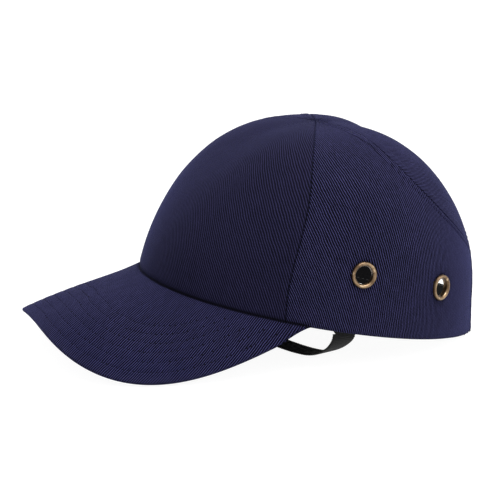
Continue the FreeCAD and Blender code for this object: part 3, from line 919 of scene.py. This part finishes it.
def brim_weave(points, lean):
    """Weave coordinates of the brim: forward, and sideways along the arched cloth."""
    y = np.linspace(0.0, brim_half_width + 5, 400)
    steepest = brim_side_drop * brim_drop_power / brim_half_width
    steep = steepest * (y / brim_half_width) ** (brim_drop_power - 1)
    arc = np.concatenate([[0.0], np.cumsum(np.hypot(1.0, 0.5 * (steep[1:] + steep[:-1])) * np.diff(y))])
    sideways = np.sign(points[..., 1]) * np.interp(np.abs(points[..., 1]), y, arc)
    forward = (points[..., 0] - crown_x) * np.hypot(1.0, brim_slope)
    across = forward * np.cos(lean) - sideways * np.sin(lean)
    return np.stack([across, forward * np.sin(lean) + sideways * np.cos(lean)], -1)


stitch_rows = (7.0, 13.5, 20.0, 26.5, 33.0, 39.5)     # from the brim's outer edge
brim_roll = brim_thickness / 2.0
brim_cloth = 0.55
brim_swells = ((0.30, 38.0), (0.10, 9.0))
row_dent = (0.22, 0.7)       # depth and width
board_turn = np.radians(75)
board_inset = 2.6
board_margin = 2.2
board_half = 0.8
brim_lean = np.radians(63)


def brim_half(node, upper):
    """The brim's top or under cloth, rolled half way round the outer edge."""
    turns = (pi / 2) * (2.0 * clustered(261, 0.35) - 1.0)
    turn, share = np.meshgrid(turns, clustered(120, 0.85), indexing="ij")
    length, edgeward = (part[:, None] for part in brim_width(turns))
    from_edge = (1.0 - share) * length
    from_crown = share * length
    half = brim_roll * end_share(turn)
    roll = np.minimum(half, 0.4 * length)
    flat_share = np.minimum(share, 1.0 - roll / length)
    base = brim_point(turn, flat_share, 0.0 if upper else 2.0 * half)
    out = brim_normal(turn, flat_share) * (1.0 if upper else -1.0)
    angle = np.clip(1.0 - from_edge / roll, 0.0, 1.0) * pi / 2
    rise = brim_relief(base, from_edge, from_crown, length, 51 if upper else 61)
    rise *= smooth((from_edge - brim_roll) / 3.0)
    rise -= bell(from_crown, 1.0) * (1.0 if upper else 0.3)
    centre = base - out * half[..., None]
    round_way = out * np.cos(angle)[..., None] + edgeward * (np.sin(angle) * roll / half)[..., None]
    height = np.maximum(half + rise, 0.4 * half)
    outer = centre + round_way * height[..., None]
    inner = centre + round_way * np.maximum(height - brim_cloth, 0.1 * half)[..., None]
    weave = brim_weave(base + edgeward * (angle * half)[..., None], brim_lean)
    # Painted shade in the brim's seam by the crown.
    obj = closed_slab(node + "_twill", outer, inner, weave, shade=0.9 * bell(from_crown, 0.9))
    finish_piece(obj, "twill", node, look=navy_brim)
    return outer, out, from_edge, length


def brim_relief(base, from_edge, from_crown, length, seed):
    """Sewn rows press the cloth in, and it stands a little proud between them."""
    rise = swells(base, seed, *brim_swells)
    for place in stitch_rows:
        rise -= row_dent[0] * bell(from_edge - place, row_dent[1]) * smooth((length - place - 5.0) / 8.0)
    return rise * smooth(from_crown / 4.0)


brim_top, brim_out, brim_from_edge, brim_length = brim_half("brim_top_fabric", True)
brim_half("brim_under_fabric", False)


def make_board():
    """The stiffener, drawn in from the stitched edges of its cover."""
    turns = board_turn * np.linspace(-1.0, 1.0, 121)
    turn, share = np.meshgrid(turns, np.linspace(0.0, 1.0, 40), indexing="ij")
    length = brim_width(turn)[0]
    share = (board_inset + share * (length - board_inset - board_margin)) / length
    gap = np.minimum(share * length - board_inset, (1.0 - share) * length - board_margin)
    half = board_half * rounding(gap, board_half) * end_share(turn)
    middle = brim_point(turn, share, brim_roll * end_share(turn))
    normal = brim_normal(turn, share) * half[..., None]
    obj = closed_slab("brim_board", middle + normal, middle - normal, brim_weave(middle, 0.0))
    finish_piece(obj, "brim_board", "brim_stiffener")


make_board()


# ---------------------------------------------------------------- thread
stitch_pitch = 3.1
stitch_reach = 0.38          # of the pitch, to either side of its middle
stitch_sag = 0.22            # where its ends go into the cloth


def at_run(line, run, places):
    """Points of a line at distances run along it."""
    return np.stack([np.interp(places, run, line[:, k]) for k in range(3)], -1)


def stitches(name, lines, look, slot, thick=0.32, sunk=0.06):
    """Rows of sewn stitches. Each line is a row of points with the normals of the cloth there."""
    rings = np.linspace(-1.0, 1.0, 5)
    turn = np.linspace(0.0, 2 * pi, 6, endpoint=False)
    points = []
    faces = []
    for line, normals in lines:
        run = lengths(line, 0)
        for middle in np.arange(stitch_pitch / 2.0, run[-1] - stitch_pitch / 2.0, stitch_pitch):
            start, end = (at_run(line, run, middle + s * stitch_pitch) for s in (-stitch_reach, stitch_reach))
            normal = at_run(normals, run, middle)
            along = end - start
            side = unit(np.cross(along, normal))
            centre = (start + end) / 2.0 + normal * (thick / 2.0 - sunk)
            first = len(points)
            for ring in rings:
                width = thick * (0.25 + 0.75 * np.sqrt(1.0 - ring * ring) ** 0.7)
                sag = normal * (-stitch_sag * ring * ring)
                for angle in turn:
                    rim = side * np.cos(angle) + normal * np.sin(angle) * 0.6
                    points.append(centre + along * (ring / 2.0) + sag + rim * width)
            faces += grid_faces(len(rings), len(turn), first, around=True)
            for corner in (first, len(points) - len(turn)):
                faces.append(tuple(range(corner, corner + len(turn))))
    finish_piece(make_object(name, points, faces), slot, look=look)


def brim_stitch_lines():
    for place in stitch_rows:
        near = np.argmin(np.abs(brim_from_edge - place), axis=1)
        rows = np.nonzero(brim_length[:, 0] > place + 6.0)[0]
        yield brim_top[rows, near[rows]], brim_out[rows, near[rows]]


stitches("brim_thread", brim_stitch_lines(), grained["navy_thread"], "twill", thick=0.26, sunk=0.08)


# ---------------------------------------------------------------- tapes, sweatband and pads
def soft_layer(name, psi, lift, depths, edge=None, side=1, relief=None):
    """A piece of a layer of the crown with rounded edges. relief gives how far its inner face
    stands out towards the head, from the distances run across and up and to the nearest edge."""
    middle = crown_point(psi, lift, (depths[0] + depths[1]) / 2.0)
    across = lengths(middle, 1)
    up = lengths(middle, 0)
    gap = np.minimum(np.minimum(across, across[:, -1:] - across), np.minimum(up, up[-1:] - up))
    half = (depths[1] - depths[0]) / 2.0
    thick = half * rounding(gap, edge or half)
    normal = crown_normal(psi, lift)
    extra = relief(middle, across, up, gap) if relief else np.zeros_like(gap)
    outer = middle + normal * thick[..., None]
    inner = middle - normal * np.maximum(thick + extra, 0.02)[..., None]
    uv = np.stack([across - across[:, -1:] / 2.0, up], -1)
    return closed_slab(name, mirrored(outer, side), mirrored(inner, side), uv)


def strip_grid(seam, low, high, half_width, columns, rows):
    """Azimuths and lifts of a tape laid along a seam."""
    share = edged(rows, 90.0, 0.4)
    psi = edge_course(seam, share, low, high)
    lift = low(psi) + (high(psi) - low(psi)) * share
    radius = plan_radius(crown_point(psi, lift))
    aside = half_width * (2.0 * edged(columns, 2 * half_width, 0.3) - 1.0)
    wide = psi[:, None] + aside[None, :] / radius[:, None]
    bottom = low(wide)
    return wide, bottom + (high(wide) - bottom) * share[:, None]


def tape_relief(middle, across, up, gap):
    """Folded edges, and two rows where the tape is sewn down."""
    to_side = np.minimum(across, across[:, -1:] - across)
    return 0.10 * (bell(to_side - 0.8, 0.5) - bell(to_side - 1.8, 0.35))


def make_tapes():
    def patch_edge(psi):
        return lift_at_radius(psi, patch_radius + tape_gap)

    def over_brim(psi):
        return lift_at_height(psi, hem_height(psi) + brim_tape_width + tape_gap)

    def over_arch(psi):
        return lift_at_height(psi, arch_top(psi, binding_width + tape_gap))

    def past_arch(psi):
        return lift_at_height(psi, np.full_like(psi, rear_seam_foot + binding_width + tape_gap))

    runs = [("centre_seam_tape", middle_back, over_arch, 1)]
    for side, word in sides:
        runs.append((word + "_front_seam_tape", front_seam, over_brim, side))
        runs.append((word + "_rear_seam_tape", rear_seam, past_arch, side))
    for node, seam, low, side in runs:
        psi, lift = strip_grid(seam, low, patch_edge, tape_half_width, 12, 80)
        obj = soft_layer(node + "_cloth", psi, lift, tape_depths, 0.3, side, tape_relief)
        finish_piece(obj, "binding_tape", node)
    psi = np.linspace(-brim_end, brim_end, 181)
    height = hem_height(psi) + brim_tape_width * edged(12, brim_tape_width, 0.3)[:, None]
    obj = soft_layer("brim_seam_tape_cloth", *laid(psi, height), tape_depths, 0.3)
    finish_piece(obj, "binding_tape", "brim_seam_tape")
    obj = make_ring("crown_patch_cloth", patch_radius, patch_hole, tape_depths, 0.25)
    finish_piece(obj, "binding_tape", "crown_patch")


def laid(psi, height):
    """Azimuths and lifts of a grid given by its columns' azimuths and its points' heights."""
    psi, height = np.broadcast_arrays(psi, height)
    return psi, lift_at_height(psi, height)


def make_ring(name, outer, inner, depths, corner):
    """Round layer at the top of the crown, with a hole in its middle."""
    radii = np.linspace(outer, inner, 30)
    loop = [(radius, depths[0]) for radius in radii]
    loop += [(radius, depths[1]) for radius in radii[::-1]]
    radius, depth = np.array(rounded(loop, corner, 4)).T[:, None]
    psi = np.linspace(0.0, 2 * pi, 120, endpoint=False)[:, None]
    sections = crown_point(psi, lift_at_radius(psi, radius), depth)
    return loft(name, sections, np.stack([radius * np.cos(psi), radius * np.sin(psi)], -1), ring=True)


def make_binding():
    """Tape folded over the edge of the rear opening, with its facing inside."""
    straight = np.linspace(hem_clearance, arch_spring, 30)[:-1]
    over, high = arch_curve(np.linspace(0.0, pi, 121))
    y = np.concatenate([np.full(29, arch_half_width), over, np.full(29, -arch_half_width)])
    z = np.concatenate([straight, high, straight[::-1]])
    psi = rear_azimuth(y, z)
    lift = lift_at_height(psi, z)
    edge = crown_point(psi, lift)
    normal = crown_normal(psi, lift)
    along = np.gradient(edge, axis=0)
    away = unit(np.cross(normal, along))
    away *= np.sign(np.sum(away * np.stack([0 * y, y, z - arch_spring / 2.0], -1), -1))[:, None]
    low, high = -tape_depths[1], -tape_depths[0]
    outline = [(-binding_lip, low), (-binding_lip, binding_proud), (-0.02, binding_proud), (-0.02, high),
               (binding_width, high), (binding_width, low)]
    loop = np.array(rounded(outline, 0.28, 5))
    sections = edge[:, None] + away[:, None] * loop[None, :, :1] + normal[:, None] * loop[None, :, 1:]
    run = lengths(edge, 0)[:, None]
    uv = np.stack(np.broadcast_arrays(loop[None, :, 0] + loop[None, :, 1], run), -1)
    finish_piece(loft("arch_binding_cloth", sections, uv), "binding_tape", "arch_binding")
    stitches("arch_thread", [(edge + away * topstitch_place, normal)], grained["navy_thread"], "twill")


def band_relief(middle, across, up, gap):
    """Brushed, slightly padded band: sewn near both edges, and soft between."""
    top = up[-1:] - up
    sewn = bell(top - 2.4, 0.5) + 0.8 * bell(up - 2.6, 0.5)
    wave = 0.16 * noise_at(middle, 22.0, 71) + 0.07 * np.sin(across * 2 * pi / 9.0) * bell(top - 2.4, 2.0)
    return wave * smooth(gap / 2.0) - 0.30 * sewn


def make_sweatband():
    psi = sweatband_end * (2.0 * edged(300, 530.0, 0.8) - 1.0)
    share = edged(30, sweatband_width, 0.8)[:, None]
    bottom = np.maximum(hem_height(psi) - sweatband_drop, hem_clearance)
    psi, lift = laid(psi, bottom + (hem_height(psi) + sweatband_width - bottom) * share)
    obj = soft_layer("sweatband_cloth", psi, lift, sweatband_depth, relief=band_relief)
    finish_piece(obj, "sweatband", "sweatband")
    lines = []
    for row in (10, len(share) - 10):
        line = crown_point(psi[row], lift[row], sweatband_depth[1] - 0.1)
        lines.append((line, -crown_normal(psi[row], lift[row])))
    stitches("sweatband_thread", lines, grained["black_thread"], "sweatband", thick=0.28)


def pad_relief(middle, across, up, gap):
    """Moulded foam: crowned, with a pressed channel inside its edge."""
    crowned = 0.7 * smooth(gap / 9.0) - 0.5
    return crowned * smooth(gap / 1.5) - 0.7 * bell(gap - 4.0, 0.8) + 0.12 * noise_at(middle, 11.0, 83)


def make_pads():
    for node, (start, end, low, high) in pads.items():
        psi = np.radians(start + (end - start) * edged(70, 60.0, pad_edge))
        height = low + (high - low) * edged(40, 30.0, pad_edge)[:, None]
        obj = soft_layer(node + "_foam", *laid(psi, height), pad_depth, pad_edge, relief=pad_relief)
        finish_piece(obj, "foam", node)
    obj = make_ring("crown_pad_foam", crown_pad_radius, crown_pad_hole, pad_depth, 2.2)
    finish_piece(obj, "foam", "crown_pad")


make_tapes()
make_binding()
make_sweatband()
make_pads()


# ---------------------------------------------------------------- eyelets
def make_eyelets():
    """Brass eyelets, with a rolled flange on the cloth, a barrel, and a curl over the washer inside."""
    rim = eyelet_radius
    barrel = eyelet_hole + barrel_wall
    roll = [(rim, -0.35), (rim - 0.05, 0.6), (rim - 0.45, 1.15), (rim - 1.1, 1.45), (rim - 1.65, 1.2),
            (5.45, 0.7), (eyelet_hole, 0.0)]
    curl = [(eyelet_hole, -2.0), (5.5, -2.45), (6.2, -2.6), (6.6, -2.35), (6.3, -2.15), (barrel, -2.15),
            (barrel, -0.5), (rim - 0.3, -0.5)]
    low, high = washer_span
    washer = [(barrel + 0.1, high), (barrel + 0.1, low), (rim - 0.3, low), (rim, high)]
    turned = (("", rounded(roll + curl, 0.3, 3)), ("_washer", rounded(washer, 0.25)))
    for place, (psi, z) in eyelets.items():
        lift = lift_at_height(psi, z)
        for side, word in sides:
            centre = mirrored(crown_point(psi, lift), side)
            axis = mirrored(crown_normal(psi, lift), side)
            for ending, profile in turned:
                node = word + "_" + place + "_eyelet" + ending
                finish_piece(lathe(node + "_brass", profile, centre, axis), "brass", node)


make_eyelets()


# ---------------------------------------------------------------- straps
strap_rib = (1.5, 0.05, 0.18)    # pitch, height, and how far each rib moves the edge
strap_selvage = 0.40             # how far the edge stays inside the nominal width
selvage_thin = 0.35              # share of the thickness lost at the edge


def webbing(name, path, across, face, width, thickness):
    """Woven strap along a path, with its frame at every point: ribs across it, and the notched
    edge where the weft turns back."""
    run = lengths(path, 0)
    gap = np.minimum(run, run[-1] - run)
    pitch, height, sway = strap_rib
    rib = np.sin(run * 2 * pi / pitch)
    half = thickness / 2.0 * rounding(gap, 0.7) + height * rib
    spread = np.linspace(-1.0, 1.0, 13)
    top = [(s, 1.0) for s in spread] + [(1.06, 0.0)]
    loop = np.array(top + [(-s, -t) for s, t in top])
    thin = 1.0 - selvage_thin * np.abs(loop[:, 0]) ** 12
    wide = width / 2.0 - strap_selvage + sway * rib
    sections = (path[:, None] + across[:, None] * (loop[None, :, :1] * wide[:, None, None])
                + face[:, None] * (loop[None, :, 1:] * (half[:, None, None] * thin[None, :, None])))
    uv = np.stack(np.broadcast_arrays(loop[None, :, 0] * width / 2.0, run[:, None]), -1)
    return loft(name, sections, uv)


def evenly(points, step):
    """The same line with points a step apart."""
    run = lengths(points, 0)
    return at_run(points, run, np.linspace(0.0, run[-1], int(run[-1] / step) + 1))


def upright(path):
    """Frame of a strap that stands on its edge along a path."""
    up = np.broadcast_to((0.0, 0.0, 1.0), path.shape)
    return up, np.cross(unit(np.gradient(path, axis=0)), up)


def joined(name, *objects):
    """One object made of several meshes."""
    mesh = bmesh.new()
    for obj in objects:
        mesh.from_mesh(obj.data)
    first = objects[0]
    mesh.to_mesh(first.data)
    mesh.free()
    for obj in objects[1:]:
        bpy.data.objects.remove(obj)
    first.name = name
    return first


def standing_band(node, path, heights, thickness, slot, body):
    """Webbing on its edge, along a path in plan."""
    path[:, 2] = sum(heights) / 2.0
    path = evenly(path, 0.25)
    obj = webbing(node + "_cloth", path, *upright(path), heights[1] - heights[0], thickness)
    finish_piece(obj, slot, node, body=body)


def make_adjuster():
    for node, (start, end, outside, inside, heights) in bands.items():
        path = crown_point(np.radians(np.linspace(start, end, 400)), pi / 2, (outside + inside) / 2.0)
        slot = "hook_and_loop" if "patch" in node else "webbing"
        body = "rear_tab" if node in ("rear_tab", "hook_patch") else "cap"
        standing_band(node, path, heights, inside - outside - 0.1, slot, body)
    sewn = crown_point(np.linspace(anchor_end, anchor_fold, 80), pi / 2, sum(bands["rear_strap"][2:4]) / 2.0)
    turned = crown_point(anchor_fold, pi / 2, np.linspace(1.6, -0.4, 12))
    path = np.concatenate([sewn[:-6], turned])
    standing_band("rear_tab_anchor", path, strap_height, chin_thickness, "webbing", "cap")


chin_route = [
    chin_pivot, (10.1, 82.5, 22.0), (10.2, 80.9, 16.9), (11.2, 75.0, 11.1), (13.0, 66.8, 6.2),
    (15.8, 57.5, 2.6), (19.2, 46.5, 1.1), (23.6, 33.5, 0.75), (28.4, 20.0, 1.2),
    (32.0, 7.0, 2.05), (34.4, -4.0, 2.05), (34.5, -14.0, 2.05), slider_centre,
    (34.5, -34.0, 2.05), (34.0, -44.0, 2.05), (30.6, -55.0, 2.05), (22.8, -66.0, 3.0),
    (15.4, -74.2, 6.2), (11.7, -79.4, 11.2), (10.2, -82.1, 17.0), (10.1, -82.5, 22.0), (10.1, -82.5, 26.0),
]


def through(points, fine=24):
    """A smooth line through points, as a Catmull-Rom spline."""
    points = np.asarray(points, float)
    padded = np.concatenate([2 * points[:1] - points[1:2], points, 2 * points[-1:] - points[-2:-1]])
    t = np.linspace(0.0, 1.0, fine, endpoint=False)[:, None]
    spans = []
    for a, b, c, d in zip(padded, padded[1:], padded[2:], padded[3:]):
        bend = (2 * a - 5 * b + 4 * c - d) * t * t + (3 * b - a - 3 * c + d) * t ** 3
        spans.append(0.5 * (2 * b + (c - a) * t + bend))
    return np.concatenate(spans + [points[-1:]])


def beside(radius, inner, outer, side, corner):
    """Turned piece on a chin strap stud's axis. radius is a pair: the hole and the outside."""
    hole, rim = radius
    profile = rounded([(hole, inner), (rim, inner), (rim, outer), (hole, outer)], corner)
    centre = np.array([crown_x + chin_pivot[0], 0.0, chin_pivot[2]])
    return lathe("turned", profile, centre, np.array([0.0, side, 0.0]), 48, True)


def make_chin_strap():
    path = evenly(through(chin_route) + (crown_x, 0.0, 0.0), 0.3)
    run = lengths(path, 0)
    path = path[(run > 5.0) & (run < run[-1] - 5.0)]
    along = unit(np.gradient(path, axis=0))
    level = along * (1.0, 1.0, 0.0)
    level = level / np.maximum(np.linalg.norm(level, axis=-1, keepdims=True), 1e-6)
    hanging = smooth((np.abs(along[:, 2:]) - 0.5) / 0.4)
    heading = level * (1.0 - hanging) + np.array([0.0, -1.0, 0.0]) * hanging
    across = unit(np.stack([-heading[:, 1], heading[:, 0], 0 * heading[:, 0]], -1))
    ribbon = webbing("ribbon", path, across, unit(np.cross(along, across)), chin_width, chin_thickness)
    low = chin_pivot[1] - chin_end[1] / 2.0
    radius = (stud_radius + stud_clearance, chin_end[0])
    ends = [beside(radius, low, low + chin_end[1], side, 0.4) for side in (1, -1)]
    finish_piece(joined("chin_strap_webbing", ribbon, *ends), "webbing", "chin_strap", body="chin_strap")


def make_studs():
    """Studs that the strap's ends turn on, and the tabs inside the hem that carry them."""
    outer_end = chin_pivot[1] + chin_end[1] / 2.0 + stud_clearance
    head_outer = chin_pivot[1] - chin_end[1] / 2.0 - stud_clearance
    head_inner = head_outer - stud_head[1]
    grid = laid(np.linspace(*chin_anchor_turn, 40), np.linspace(*chin_anchor_height, 40)[:, None])
    for side, word in sides:
        head = beside((stud_bore, stud_head[0]), head_inner, head_outer, side, 0.45)
        shank = beside((stud_bore, stud_radius), head_inner + 0.2, outer_end, side, 0.1)
        finish_piece(joined("chin_stud_cap_" + word, head, shank), "slider_plastic", "chin_stud_" + word)
        tab = soft_layer("tab", *grid, chin_anchor_depth, 0.5, side)
        boss = beside((stud_bore, stud_boss[0]), outer_end, outer_end + stud_boss[1], side, 0.4)
        finish_piece(joined("chin_anchor_tab_" + word, tab, boss), "webbing", "chin_anchor_" + word)


def make_slider():
    """Flat moulded keeper that the strap runs through."""
    width = chin_width + 2 * (slider_wall + slider_gap)
    turn = np.linspace(0.0, 2 * pi, 96, endpoint=False)
    reach = superellipse(turn, 1.0, 1.0, 8)
    shape = np.stack([reach * np.cos(turn), reach * np.sin(turn)], -1)
    half = np.array([width, slider_height]) / 2.0
    end = slider_length / 2.0
    loop = rounded([(0.0, -end), (0.0, end), (slider_wall, end), (slider_wall, -end)], 0.35)
    sections = []
    for inset, place in loop:
        ring = shape * (half - inset)
        grip = 0.12 * np.sin(place * 2 * pi / 1.6) * (inset < 0.1)
        ring = ring * (1.0 + grip / half[0])
        sections.append(np.stack([ring[:, 0], np.full(96, place), ring[:, 1]], -1))
    sections = np.array(sections) + slider_centre + np.array([crown_x, 0.0, 0.0])
    obj = loft("chin_slider_moulding", sections, np.zeros(sections.shape[:2] + (2,)), ring=True)
    finish_piece(obj, "slider_plastic", "chin_slider", body="chin_slider")


make_adjuster()
make_chin_strap()
make_studs()
make_slider()

# The shell's CAD shape is right as it is, so it stays and gets the moulded plastic.
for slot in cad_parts["impact_shell"].material_slots:
    slot.material = grained["shell_plastic"]


# ---------------------------------------------------------------- stage
floor_size = 24.0
floor_color = (0.15, 0.15, 0.15)
white = (1.0, 1.0, 1.0)
# Each light: place and size in metres, and power.
lights = {"key": ((-0.25, 0.35, 1.6), (1.1, 0.9), 34.0), "fill": ((-1.3, 0.8, 0.7), (1.0, 1.0), 7.0)}
light_aim = (0.0, 0.0, 0.06)

bpy.ops.mesh.primitive_plane_add(size=floor_size)
floor = bpy.context.object
floor.name = "floor"
floor.data.materials.append(Look("floor").finish(
    Base_Color=floor_color, Roughness=0.9, Emission_Color=white, Emission_Strength=0.935))

world = bpy.data.worlds.new("studio")
bpy.context.scene.world = world
world.use_nodes = True
background = world.node_tree.nodes["Background"]
background.inputs["Color"].default_value = (*white, 1.0)
background.inputs["Strength"].default_value = 1.05

for name, (place, size, power) in lights.items():
    data = bpy.data.lights.new(name, "AREA")
    data.shape = "RECTANGLE"
    data.size, data.size_y = size
    data.energy = power
    aimed(name, data, place, light_aim)
bpy.context.scene.view_settings.view_transform = "Standard"
